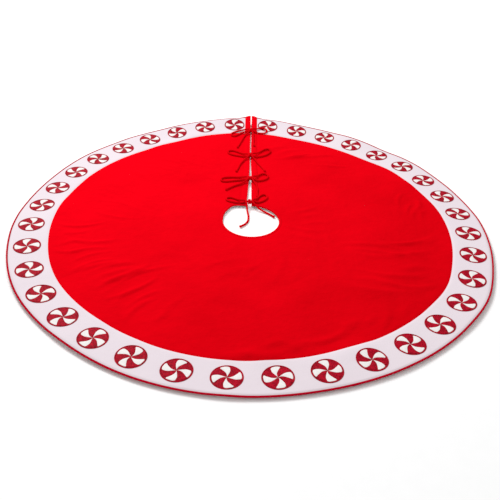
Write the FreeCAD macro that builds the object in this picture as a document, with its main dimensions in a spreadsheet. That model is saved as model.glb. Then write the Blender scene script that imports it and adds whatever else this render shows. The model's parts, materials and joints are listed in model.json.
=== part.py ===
import FreeCAD, Part
import math
import os

import Sketcher
from FreeCAD import Placement, Rotation, Vector

# A round cloth tree skirt that lies flat round the foot of a tree. Millimetres, +Z up.
# The origin is the middle of the trunk hole, on the underside of the lining. The slit runs
# along +Y, and azimuths are measured clockwise from the slit, seen from above. The skirt is
# cut into a main panel and two flaps that fold back beside the slit, so that it can be put
# round a standing trunk.

doc = FreeCAD.newDocument("tree_skirt")

# ---------------------------------------------------------------------------------------
# Driving dimensions
# ---------------------------------------------------------------------------------------

sheet = doc.addObject("Spreadsheet::Sheet", "Sizes")
DRIVING_SIZES = [
    ("skirt_radius", 660.4, "middle of the trunk hole to the outside of the piping"),
    ("hole_radius", 79.0, "trunk hole"),
    ("slit_gap", 7.4, "between the two placket edges"),
    ("lining_thickness", 0.8, "woven backing"),
    ("wadding_thickness", 3.2, "thin fleece between backing and face"),
    ("face_thickness", 0.8, "red centre and white border alike"),
    ("border_width", 103.5, "seam to the outside of the piping"),
    ("piping_flange", 10.0, "seam allowance inside the edge"),
    ("binding_width", 8.0, "strip on top round the trunk hole"),
    ("binding_thickness", 0.6, "one folded layer"),
    ("placket_width", 19.0, "red strip along each side of the slit"),
    ("placket_thickness", 0.8, "two folded layers"),
    ("placket_leaf", 0.6, "the part turned down over the slit edge"),
    ("placket_overhang", 6.0, "loose end beyond the piping"),
    ("mint_radius", 35.2, "embroidered disc"),
    ("mint_thickness", 1.2, "stitching stands this proud"),
    ("mint_bevel", 0.5, "rounded-off rim of the stitching"),
    ("mint_ring_shift", 0.05, "disc centres outside the middle of the border"),
    ("mint_placket_gap", 2.556, "between a placket and the disc beside it"),
    ("mint_total", 36.0, "discs in the ring"),
    ("flap_mints", 4.0, "discs on each flap"),
    ("fold_gap", 0.6, "between the main panel and a flap"),
    ("tie_radius", 3.0, "narrow sewn cord"),
    ("tie_knot_radius", 4.0, "knotted end of a tie"),
]
for row, (alias, value, note) in enumerate(DRIVING_SIZES, start=1):
    sheet.set(f"A{row}", alias)
    sheet.set(f"B{row}", str(value))
    sheet.set(f"C{row}", note)
    sheet.setAlias(f"B{row}", alias)
doc.recompute()

# Sizes that follow from the ones above, as expressions that the features share.
CLOTH_TOP = "(Sizes.lining_thickness + Sizes.wadding_thickness + Sizes.face_thickness)"
FACE_BASE = "(Sizes.lining_thickness + Sizes.wadding_thickness)"
PIPING_RADIUS = f"({CLOTH_TOP} / 2)"
BEAD_CENTRE = f"(Sizes.skirt_radius - {PIPING_RADIUS})"
BEAD_INSIDE = f"(Sizes.skirt_radius - 2 * {PIPING_RADIUS})"
SEAM_RADIUS = "(Sizes.skirt_radius - Sizes.border_width)"
FLANGE_INSIDE = f"({BEAD_INSIDE} - Sizes.piping_flange)"
CORE_HOLE = "(Sizes.hole_radius + Sizes.binding_thickness)"
HALF_SLIT = "(Sizes.slit_gap / 2)"
MINT_RING = "(Sizes.skirt_radius - Sizes.border_width / 2 + Sizes.mint_ring_shift)"
MINT_REACH = f"({HALF_SLIT} + Sizes.placket_width + Sizes.mint_placket_gap + Sizes.mint_radius)"
MINT_FIRST = f"(asin({MINT_REACH} / {MINT_RING}) / 1 deg)"
MINT_STEP = f"((360 - 2 * {MINT_FIRST}) / (Sizes.mint_total - 1))"
FOLD_AZIMUTH = f"({MINT_FIRST} + (Sizes.flap_mints - 0.5) * {MINT_STEP})"


def value_of(expression):
    """Number that an expression on the sheet gives now."""
    result = sheet.evalExpression(expression)
    return float(getattr(result, "Value", result))


# ---------------------------------------------------------------------------------------
# Helpers
# ---------------------------------------------------------------------------------------

parts = []


def keep(part, label):
    """Names an object as a sub-part that is written out."""
    part.Label = label
    parts.append(part)
    return part


def bind(part, **expressions):
    """Binds properties to expressions; a double underscore stands for a dot."""
    for name, expression in expressions.items():
        part.setExpression(name.replace("__", "."), expression)


def origin_plane(body, role):
    """The body's own base plane with that role."""
    return next(plane for plane in body.Origin.OriginFeatures if plane.Role == role)


def sketch_on(body, role, name, height="0"):
    """Empty sketch on one of the body's base planes, lifted off it by an expression."""
    sketch = body.newObject("Sketcher::SketchObject", name)
    sketch.AttachmentSupport = (origin_plane(body, role), [""])
    sketch.MapMode = "FlatFace"
    sketch.setExpression("AttachmentOffset.Base.z", height)
    return sketch


def draw_polygon(sketch, corners):
    """Closed outline whose corners are pairs of expressions, held by its dimensions."""
    points = [Vector(value_of(across), value_of(up), 0) for across, up in corners]
    first = sketch.GeometryCount
    for start, end in zip(points, points[1:] + points[:1]):
        sketch.addGeometry(Part.LineSegment(start, end), False)
    for index in range(len(points)):
        following = first + (index + 1) % len(points)
        sketch.addConstraint(Sketcher.Constraint("Coincident", first + index, 2, following, 1))
    for index, (point, expressions) in enumerate(zip(points, corners)):
        for kind, number, expression in zip(("DistanceX", "DistanceY"), point, expressions):
            place = sketch.addConstraint(
                Sketcher.Constraint(kind, -1, 1, first + index, 1, number)
            )
            sketch.setExpression(f"Constraints[{place}]", expression)


def draw_circle(sketch, across, up, radius):
    """Circle with its centre and radius given as expressions."""
    centre = Vector(value_of(across), value_of(up), 0)
    circle = sketch.addGeometry(Part.Circle(centre, Vector(0, 0, 1), value_of(radius)), False)
    rows = [
        (Sketcher.Constraint("Radius", circle, value_of(radius)), radius),
        (Sketcher.Constraint("DistanceX", -1, 1, circle, 3, centre.x), across),
        (Sketcher.Constraint("DistanceY", -1, 1, circle, 3, centre.y), up),
    ]
    for constraint, expression in rows:
        place = sketch.addConstraint(constraint)
        sketch.setExpression(f"Constraints[{place}]", expression)


def pad(body, sketch, name, length):
    """Pads a sketch along its normal by an expression."""
    feature = body.newObject("PartDesign::Pad", name)
    feature.Profile = sketch
    feature.setExpression("Length", length)
    body.Tip = feature
    return feature


def revolve(body, sketch, name):
    """Turns a sketch all the way round the body's Z axis."""
    feature = body.newObject("PartDesign::Revolution", name)
    feature.Profile = sketch
    feature.ReferenceAxis = (origin_axis(body, "Z_Axis"), [""])
    feature.Angle = 360.0
    body.Tip = feature
    return feature


def origin_axis(body, role):
    """The body's own base axis with that role."""
    return next(axis for axis in body.Origin.OriginFeatures if axis.Role == role)


# ---------------------------------------------------------------------------------------
# Where the cloth is divided
# ---------------------------------------------------------------------------------------
# Three prisms, larger than the skirt, stand for the main panel and the flaps. Each has
# straight sides that stay the same distance from the fold lines and from the slit, so its
# apex stands off the middle of the hole.

PRISM_RADIUS = "(2 * Sizes.skirt_radius)"
PRISM_HEIGHT = f"(3 * {CLOTH_TOP})"
PRISM_BASE = f"(-{CLOTH_TOP})"


def main_prism():
    """Everything but the flaps."""
    prism = doc.addObject("Part::Cylinder", "main_prism")
    bind(
        prism,
        Radius=PRISM_RADIUS,
        Height=PRISM_HEIGHT,
        Angle=f"(360 - 2 * {FOLD_AZIMUTH}) * 1 deg",
        Placement__Base__y=f"-Sizes.fold_gap / 2 / sin({FOLD_AZIMUTH} * 1 deg)",
        Placement__Base__z=PRISM_BASE,
        Placement__Rotation__Angle=f"(90 + {FOLD_AZIMUTH}) * 1 deg",
    )
    return prism


def flap_prism(side, name, inset):
    """One flap, from its fold line to the slit less an inset; side is -1 left, +1 right."""
    prism = doc.addObject("Part::Cylinder", name)
    reach = f"({HALF_SLIT} + {inset})"
    turn = f"(90 - {FOLD_AZIMUTH}) * 1 deg" if side > 0 else "90 deg"
    bind(
        prism,
        Radius=PRISM_RADIUS,
        Height=PRISM_HEIGHT,
        Angle=f"{FOLD_AZIMUTH} * 1 deg",
        Placement__Base__x=f"{side} * {reach}",
        Placement__Base__y=(
            f"(Sizes.fold_gap / 2 + {reach} * cos({FOLD_AZIMUTH} * 1 deg))"
            f" / sin({FOLD_AZIMUTH} * 1 deg)"
        ),
        Placement__Base__z=PRISM_BASE,
        Placement__Rotation__Angle=turn,
    )
    return prism


SIDES = {"left": -1, "right": 1}
main = main_prism()
whole_flap = {name: flap_prism(side, f"{name}_prism", "0") for name, side in SIDES.items()}
core_flap = {
    name: flap_prism(side, f"{name}_core_prism", "Sizes.placket_leaf")
    for name, side in SIDES.items()
}


def divide(ring, stem, flaps):
    """Cuts one all-round layer into the main panel's piece and one for each flap."""
    for name, prism in [("main", main), *flaps.items()]:
        piece = doc.addObject("Part::Common", f"{stem}_{name}")
        piece.Base = ring
        piece.Tool = prism
        keep(piece, f"{stem}_{name}")


# ---------------------------------------------------------------------------------------
# Cloth layers: lining, wadding, red centre, white border
# ---------------------------------------------------------------------------------------


def flat_ring(name, inside, outside, base, thickness):
    """Flat ring of cloth between two radii."""
    disc = doc.addObject("Part::Cylinder", f"{name}_disc")
    bind(disc, Radius=outside, Height=thickness, Placement__Base__z=base)
    hole = doc.addObject("Part::Cylinder", f"{name}_hole")
    bind(hole, Radius=inside, Height=f"3 * {thickness}")
    bind(hole, Placement__Base__z=f"{base} - {thickness}")
    ring = doc.addObject("Part::Cut", f"{name}_ring")
    ring.Base = disc
    ring.Tool = hole
    return ring


lining = flat_ring("lining", "Sizes.hole_radius", BEAD_INSIDE, "0", "Sizes.lining_thickness")
wadding = flat_ring(
    "wadding", CORE_HOLE, FLANGE_INSIDE, "Sizes.lining_thickness", "Sizes.wadding_thickness"
)
centre = flat_ring("red_centre", CORE_HOLE, SEAM_RADIUS, FACE_BASE, "Sizes.face_thickness")
border = flat_ring("white_border", SEAM_RADIUS, BEAD_INSIDE, FACE_BASE, "Sizes.face_thickness")
divide(lining, "lining", whole_flap)
divide(wadding, "wadding", core_flap)
divide(centre, "red_centre", core_flap)
divide(border, "white_border", core_flap)

# ---------------------------------------------------------------------------------------
# Edges: piping round the outside, binding round the trunk hole
# ---------------------------------------------------------------------------------------


def piping_ring():
    """Round bead on a flange that is sewn in between the lining and the border."""
    body = doc.addObject("PartDesign::Body", "piping_ring")
    bead = sketch_on(body, "XZ_Plane", "bead_section")
    draw_circle(bead, BEAD_CENTRE, PIPING_RADIUS, PIPING_RADIUS)
    revolve(body, bead, "bead")
    flange = sketch_on(body, "XZ_Plane", "flange_section")
    low, high = "Sizes.lining_thickness", FACE_BASE
    corners = [(FLANGE_INSIDE, low), (BEAD_CENTRE, low), (BEAD_CENTRE, high), (FLANGE_INSIDE, high)]
    draw_polygon(flange, corners)
    revolve(body, flange, "flange")
    return body


def binding_ring():
    """Strip that covers the edge of the hole and turns onto the face."""
    body = doc.addObject("PartDesign::Body", "binding_ring")
    section = sketch_on(body, "XZ_Plane", "binding_section")
    top = f"({CLOTH_TOP} + Sizes.binding_thickness)"
    outside = "(Sizes.hole_radius + Sizes.binding_width)"
    low = "Sizes.lining_thickness"
    corners = [
        ("Sizes.hole_radius", low),
        (CORE_HOLE, low),
        (CORE_HOLE, CLOTH_TOP),
        (outside, CLOTH_TOP),
        (outside, top),
        ("Sizes.hole_radius", top),
    ]
    draw_polygon(section, corners)
    revolve(body, section, "binding")
    return body


divide(piping_ring(), "piping", whole_flap)
divide(binding_ring(), "hole_binding", whole_flap)

# ---------------------------------------------------------------------------------------
# Plackets: a red strip along each side of the slit, turned down over the cut edge
# ---------------------------------------------------------------------------------------


def placket(name, side):
    """Top strip with a slanted loose end, and the leaf that closes the slit edge."""
    body = doc.addObject("PartDesign::Body", f"placket_{name}")
    near = f"{side} * {HALF_SLIT}"
    far = f"{side} * ({HALF_SLIT} + Sizes.placket_width)"
    tip = f"{side} * ({HALF_SLIT} + Sizes.placket_width / 4)"
    start = "(Sizes.hole_radius + Sizes.binding_width)"
    end = "(Sizes.skirt_radius + Sizes.placket_overhang)"
    strip = sketch_on(body, "XY_Plane", f"strip_{name}", CLOTH_TOP)
    slant = "(Sizes.skirt_radius - Sizes.placket_overhang / 2)"
    draw_polygon(strip, [(near, start), (far, start), (far, slant), (tip, end), (near, end)])
    pad(body, strip, f"strip_pad_{name}", "Sizes.placket_thickness")
    inner = f"{side} * ({HALF_SLIT} + Sizes.placket_leaf)"
    leaf = sketch_on(body, "XY_Plane", f"leaf_{name}", "Sizes.lining_thickness")
    draw_polygon(
        leaf, [(near, start), (inner, start), (inner, FLANGE_INSIDE), (near, FLANGE_INSIDE)]
    )
    pad(body, leaf, f"leaf_pad_{name}", f"{CLOTH_TOP} - Sizes.lining_thickness")
    return keep(body, f"placket_{name}")


for side_name, side_sign in SIDES.items():
    placket(side_name, side_sign)

# ---------------------------------------------------------------------------------------
# Peppermint discs, numbered clockwise from the slit
# ---------------------------------------------------------------------------------------


def mint_disc(number):
    """One embroidered disc, with its +Y pointing away from the middle of the skirt."""
    body = doc.addObject("PartDesign::Body", f"mint_{number:02d}")
    outline = sketch_on(body, "XY_Plane", f"mint_outline_{number:02d}")
    circle = outline.addGeometry(Part.Circle(Vector(), Vector(0, 0, 1), 1.0), False)
    outline.addConstraint(Sketcher.Constraint("Coincident", circle, 3, -1, 1))
    radius = outline.addConstraint(
        Sketcher.Constraint("Radius", circle, value_of("Sizes.mint_radius"))
    )
    outline.setExpression(f"Constraints[{radius}]", "Sizes.mint_radius")
    disc = pad(body, outline, f"mint_pad_{number:02d}", "Sizes.mint_thickness")
    doc.recompute()
    rim = body.newObject("PartDesign::Chamfer", f"mint_rim_{number:02d}")
    rim.Base = (disc, [edge_at_top(disc.Shape)])
    rim.setExpression("Size", "Sizes.mint_bevel")
    body.Tip = rim
    azimuth = f"({MINT_FIRST} + {number - 1} * {MINT_STEP}) * 1 deg"
    bind(
        body,
        Placement__Base__x=f"{MINT_RING} * sin({azimuth})",
        Placement__Base__y=f"{MINT_RING} * cos({azimuth})",
        Placement__Base__z=CLOTH_TOP,
        Placement__Rotation__Angle=f"-{azimuth}",
    )
    return body


def edge_at_top(shape):
    """Name of the round edge that lies highest."""
    heights = [
        (edge.BoundBox.ZMin, f"Edge{index}")
        for index, edge in enumerate(shape.Edges, start=1)
        if edge.BoundBox.ZLength < 1e-6
    ]
    return max(heights)[1]


MINT_TOTAL = int(value_of("Sizes.mint_total"))
FLAP_MINTS = int(value_of("Sizes.flap_mints"))
mints = {number: mint_disc(number) for number in range(1, MINT_TOTAL + 1)}


def mint_group(label, numbers):
    """The discs of one flap, as one node of separate solids."""
    group = doc.addObject("Part::Compound", label)
    group.Links = [mints[number] for number in numbers]
    return keep(group, label)


mint_group("mints_right", range(1, FLAP_MINTS + 1))
mint_group("mints_left", range(MINT_TOTAL - FLAP_MINTS + 1, MINT_TOTAL + 1))
for mint_number in range(FLAP_MINTS + 1, MINT_TOTAL - FLAP_MINTS + 1):
    keep(mints[mint_number], f"mint_{mint_number:02d}")

# ---------------------------------------------------------------------------------------
# Ties: eight cords, two to a bow. Each is sewn into its placket, makes one loop of its bow,
# passes over its own start and ends in a knotted tail.
# ---------------------------------------------------------------------------------------

TIE_ROUTES = {
    "tie_left_1": [
        (-7, 570, 7.6), (-20, 567, 9.4), (-36, 556, 9.4), (-47, 539, 9.4), (-58, 528, 9.4),
        (-69, 534, 9.4), (-70, 549, 9.4), (-61, 562, 9.4), (-45, 570, 9.4), (-27, 575, 11),
        (-12, 576, 16.4), (-8, 564, 16.4), (-16, 549, 11), (-25, 530, 9.4), (-31, 505, 9.4),
        (-38, 476, 9.4), (-45, 450, 9.4),
    ],
    "tie_right_1": [
        (7, 570, 7.6), (20, 566, 9.4), (36, 563, 9.4), (50, 568, 9.4), (58, 581, 9.6),
        (54, 596, 9.6), (41, 603, 9.6), (28, 597, 9.8), (19, 586, 11.5), (11, 576, 16.4),
        (8, 563, 16.4), (11, 548, 11), (10, 528, 9.4), (12, 505, 9.4), (11, 482, 9.4),
        (14, 461, 9.4),
    ],
    "tie_left_2": [
        (-7, 384, 7.6), (-20, 381, 9.4), (-38, 383, 9.4), (-56, 390, 9.4), (-70, 403, 9.4),
        (-76, 419, 9.4), (-68, 432, 9.4), (-53, 430, 9.4), (-38, 418, 9.4), (-25, 403, 11),
        (-13, 392, 16.4), (-8, 379, 16.4), (-17, 365, 11), (-28, 349, 9.4), (-36, 328, 9.4),
        (-40, 306, 9.4), (-45, 287, 9.4),
    ],
    "tie_right_2": [
        (7, 384, 7.6), (20, 381, 9.4), (36, 384, 9.4), (51, 394, 9.4), (62, 410, 9.4),
        (67, 427, 9.4), (60, 441, 9.4), (46, 440, 9.4), (34, 425, 9.4), (23, 408, 11),
        (12, 395, 16.4), (8, 381, 16.4), (14, 366, 11), (23, 349, 9.4), (31, 328, 9.4),
        (40, 309, 9.4), (46, 291, 9.4),
    ],
    "tie_left_3": [
        (-7, 230, 7.6), (-20, 226, 9.4), (-38, 223, 9.4), (-58, 219, 9.4), (-77, 217, 9.4),
        (-91, 223, 9.4), (-92, 236, 9.4), (-80, 244, 9.4), (-62, 245, 9.4), (-43, 243, 9.4),
        (-25, 241, 11), (-11, 237, 16.4), (-8, 224, 16.4), (-17, 211, 11), (-32, 199, 9.4),
        (-46, 191, 9.4), (-60, 179, 9.4), (-71, 169, 9.4),
    ],
    "tie_right_3": [
        (7, 230, 7.6), (20, 226, 9.4), (35, 229, 9.4), (49, 238, 9.4), (57, 252, 9.4),
        (54, 267, 9.4), (41, 271, 9.4), (29, 262, 9.6), (20, 249, 11), (11, 239, 16.4),
        (8, 226, 16.4), (13, 212, 11), (20, 195, 9.4), (22, 173, 9.4), (19, 152, 9.4),
        (21, 131, 9.4),
    ],
    "tie_left_4": [
        (-7, 91, 7.6), (-20, 85, 9.4), (-36, 82, 9.4), (-52, 86, 9.4), (-66, 95, 9.4),
        (-74, 108, 9.4), (-68, 121, 9.4), (-54, 119, 9.4), (-41, 107, 9.6), (-27, 98, 11),
        (-13, 93, 16.4), (-9, 80, 16.4), (-12, 64, 10.5), (-9, 47, 5.4), (-7, 29, 3.2),
        (-7, 10, 3.2), (-13, -8, 3.2), (-23, -22, 3.2), (-35, -32, 4.2),
    ],
    "tie_right_4": [
        (7, 91, 7.6), (19, 89, 9.4), (34, 94, 9.4), (47, 104, 9.4), (55, 119, 9.4),
        (54, 134, 9.4), (43, 143, 9.4), (32, 136, 9.4), (25, 121, 9.4), (18, 107, 11),
        (10, 96, 16.4), (8, 83, 16.4), (15, 70, 10.5), (27, 60, 5.4), (41, 51, 3.2),
        (54, 40, 3.2), (65, 27, 4.2),
    ],
}
RUN_SHARE = 0.45


def rounded_path(points):
    """Straight runs joined by arcs as large as the runs beside them allow."""
    edges = []
    radii = []
    start = points[0]
    for before, corner, after in zip(points, points[1:], points[2:]):
        back = before - corner
        ahead = after - corner
        turn = math.pi - back.getAngle(ahead)
        reach = RUN_SHARE * min(back.Length, ahead.Length)
        radius = reach / math.tan(turn / 2)
        back.normalize()
        ahead.normalize()
        inward = back + ahead
        inward.normalize()
        middle = corner + inward * (radius / math.cos(turn / 2) - radius)
        arc_start = corner + back * reach
        arc_end = corner + ahead * reach
        edges.append(Part.LineSegment(start, arc_start).toShape())
        edges.append(Part.Arc(arc_start, middle, arc_end).toShape())
        radii.append(radius)
        start = arc_end
    edges.append(Part.LineSegment(start, points[-1]).toShape())
    return Part.Wire(edges), radii


def tie(label, route):
    """One sewn cord of round section, with its knotted end as a ball on the tail."""
    points = [Vector(*point) for point in route]
    path, radii = rounded_path(points)
    radius = sheet.tie_radius
    section = Part.Wire(Part.makeCircle(radius, points[0], points[1] - points[0]))
    tube = path.makePipeShell([section], True, True)
    ratio = tube.Volume / (math.pi * radius**2 * path.Length)
    print(
        f"{label}: length {path.Length:.1f}, smallest radius {min(radii):.1f}, "
        f"volume over section times length {ratio:.4f}"
    )
    knot = Part.makeSphere(sheet.tie_knot_radius, points[-1])
    feature = doc.addObject("Part::Feature", label)
    feature.Shape = tube.fuse(knot)
    feature.Placement = Placement(Vector(), Rotation())
    return keep(feature, label)


for tie_label, tie_route in TIE_ROUTES.items():
    tie(tie_label, tie_route)

# ---------------------------------------------------------------------------------------
# Checks and files
# ---------------------------------------------------------------------------------------

doc.recompute()
for item in doc.Objects:
    if "Invalid" in item.State or "Error" in item.State:
        raise RuntimeError(f"{item.Label} failed: {item.State}")
for part in parts:
    if part.Shape.isNull() or not part.Shape.isValid() or not part.Shape.Solids:
        raise RuntimeError(f"{part.Label} has no valid solid")

os.makedirs("parts", exist_ok=True)
for part in parts:
    part.Shape.exportStep(f"parts/{part.Label}.step")
print(f"{len(parts)} parts, fold line at {value_of(FOLD_AZIMUTH):.3f} degrees from the slit")
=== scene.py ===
"""A round red cloth tree skirt with a pale border of embroidered peppermints.

The skirt lies on the floor, a little wavy, with the border standing up beside the slit. Every
piece is cut flat first, in the plane of the floor, and then laid by one Drape, so that the
layers, the embroidery, the edges and the ties all follow the same surface.
"""

import json
import logging
import math
import random
from dataclasses import dataclass, field
from enum import Enum
from typing import Any, Callable, Sequence

import bmesh
import bpy
import numpy as np
from mathutils import Matrix, Vector


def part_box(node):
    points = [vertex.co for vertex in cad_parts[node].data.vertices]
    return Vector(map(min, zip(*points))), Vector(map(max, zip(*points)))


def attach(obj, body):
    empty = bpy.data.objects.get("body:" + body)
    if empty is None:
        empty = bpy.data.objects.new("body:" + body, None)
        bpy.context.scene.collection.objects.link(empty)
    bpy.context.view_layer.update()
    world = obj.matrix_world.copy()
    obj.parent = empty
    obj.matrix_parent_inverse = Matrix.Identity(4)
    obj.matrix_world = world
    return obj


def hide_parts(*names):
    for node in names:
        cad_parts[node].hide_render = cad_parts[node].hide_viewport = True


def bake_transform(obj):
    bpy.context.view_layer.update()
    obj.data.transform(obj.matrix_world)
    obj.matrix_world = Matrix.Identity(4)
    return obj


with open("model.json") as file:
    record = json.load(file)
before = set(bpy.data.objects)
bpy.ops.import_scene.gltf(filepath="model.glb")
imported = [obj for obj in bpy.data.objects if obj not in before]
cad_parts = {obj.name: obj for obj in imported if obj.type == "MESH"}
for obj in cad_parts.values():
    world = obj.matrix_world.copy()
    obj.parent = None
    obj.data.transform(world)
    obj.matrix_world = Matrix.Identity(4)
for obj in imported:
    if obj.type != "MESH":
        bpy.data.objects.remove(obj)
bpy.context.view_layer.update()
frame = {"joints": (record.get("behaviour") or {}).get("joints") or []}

LOG = logging.getLogger("tree_skirt")
MM = 0.001
MINTS = 36
MINTS_ON_FLAP = 4
SECTOR = 45  # Degrees; a disc has four pale sectors and four red ones.


# Sizes and sides


class Side(Enum):
    """The two halves of the skirt, as seen from above with the slit at the back."""

    LEFT = -1
    RIGHT = 1

    @property
    def label(self) -> str:
        """Name used in piece and node names."""
        return self.name.lower()

    @property
    def flap(self) -> str:
        """Body of the flap on this side of the slit."""
        return f"{self.label}_flap"

    @property
    def sign(self) -> int:
        """Minus one for left, plus one for right."""
        return self.value


class Swirl(Enum):
    """Which way the petals of a peppermint turn on their way out, seen from above."""

    CLOCKWISE = -1
    COUNTER_CLOCKWISE = 1


@dataclass(frozen=True)
class Cut:
    """Flat sizes of the skirt in metres, read from its solids where a box gives them."""

    rim: float
    slit: float
    placket_far: float
    placket_end: float
    binding_out: float
    lining_top: float
    wadding_top: float
    cloth_top: float
    placket_top: float
    mint_top: float
    fold: float
    hole: float = 0.079
    core_hole: float = 0.0796
    seam: float = 0.5569
    bead: float = 0.0024
    flange: float = 0.010
    mint_radius: float = 0.0352
    mint_ring: float = 0.6087

    @classmethod
    def from_frame(cls) -> "Cut":
        """Reads the sizes off the boxes of the solids.

        Returns:
            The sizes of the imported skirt.
        """
        placket_low, placket_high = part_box("placket_right")
        hinge = next(j for j in frame["joints"] if j["name"] == "right_flap_fold")
        axis = Vector(hinge["axis"])
        return cls(
            rim=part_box("piping_main")[1].x,
            slit=placket_low.x,
            placket_far=placket_high.x,
            placket_end=placket_high.y,
            binding_out=placket_low.y,
            lining_top=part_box("lining_main")[1].z,
            wadding_top=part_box("wadding_main")[1].z,
            cloth_top=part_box("white_border_main")[1].z,
            placket_top=placket_high.z,
            mint_top=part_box("mint_10")[1].z,
            fold=math.atan2(abs(axis.x), abs(axis.y)),
        )

    @property
    def bead_inside(self) -> float:
        """Radius where the border meets the piping."""
        return self.rim - 2 * self.bead

    @property
    def flange_inside(self) -> float:
        """Radius where the piping's seam allowance ends."""
        return self.bead_inside - self.flange

    def mint_azimuth(self, number: int) -> float:
        """Azimuth of a disc in radians, clockwise from the slit.

        Args:
            number: 1 to MINTS, counted clockwise.

        Returns:
            The azimuth of its middle.
        """
        # The fold runs midway between the fourth disc and the fifth, 3.5 steps from the first.
        first = (self.fold - math.radians(36.0)) / 0.8
        return first + (number - 1) * (2 * math.pi - 2 * first) / (MINTS - 1)


# How the cloth lies


@dataclass(frozen=True)
class Station:
    """How the border lies at one azimuth: degrees from the slit, then millimetres."""

    azimuth: float
    pull: float = 0.0
    seam: float = 0.0
    edge: float = 0.0


@dataclass(frozen=True)
class Wrinkle:
    """One soft ridge between two points of the flat cloth, in metres."""

    start: tuple[float, float]
    end: tuple[float, float]
    height: float
    width: float

    def rise(self, x: np.ndarray, y: np.ndarray) -> np.ndarray:
        """Height of the ridge at flat points.

        Args:
            x, y: flat coordinates, across and towards the slit.

        Returns:
            The height in metres, nowhere below a shallow trough beside the ridge.
        """
        (x0, y0), (x1, y1) = self.start, self.end
        length = math.hypot(x1 - x0, y1 - y0)
        ux, uy = (x1 - x0) / length, (y1 - y0) / length
        along = (x - x0) * ux + (y - y0) * uy
        across = (x - x0) * -uy + (y - y0) * ux
        t = np.clip(along / length, 0.0, 1.0)
        bend = across - 0.10 * length * np.sin(math.pi * t) * math.copysign(1, self.height)
        taper = np.sin(math.pi * t) ** 0.8
        size = abs(self.height)
        ridge = np.exp(-((bend / self.width) ** 2))
        trough = np.exp(-(((bend - 1.9 * self.width) / (1.2 * self.width)) ** 2))
        return size * taper * (ridge - 0.35 * trough)


@dataclass(frozen=True)
class WrinkleFan:
    """A group of ridges that run nearly the same way, such as those that leave the seam."""

    azimuth: float
    spread: float
    inner: float
    outer: float
    count: int
    slant: float
    height: float = 1.6
    width: float = 8.0

    def ridges(self, dice: random.Random) -> list[Wrinkle]:
        """Ridges of the fan, each a little different.

        Args:
            dice: seeded source of the small differences.

        Returns:
            The ridges.
        """
        made = []
        for index in range(self.count):
            share = (index + 0.5) / self.count - 0.5
            middle = math.radians(self.azimuth + share * 2 * self.spread + dice.uniform(-1.5, 1.5))
            reach = dice.uniform(0.55, 1.0) * (self.outer - self.inner) * MM
            far = (self.outer - dice.uniform(0, 0.25) * (self.outer - self.inner)) * MM
            turn = middle + math.radians(self.slant + dice.uniform(-9, 9))
            end = (far * math.sin(middle), far * math.cos(middle))
            start = (end[0] - reach * math.sin(turn), end[1] - reach * math.cos(turn))
            height = self.height * dice.uniform(0.6, 1.2) * MM * dice.choice((-1, 1))
            made.append(Wrinkle(start, end, height, self.width * dice.uniform(0.75, 1.3) * MM))
        return made


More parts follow.
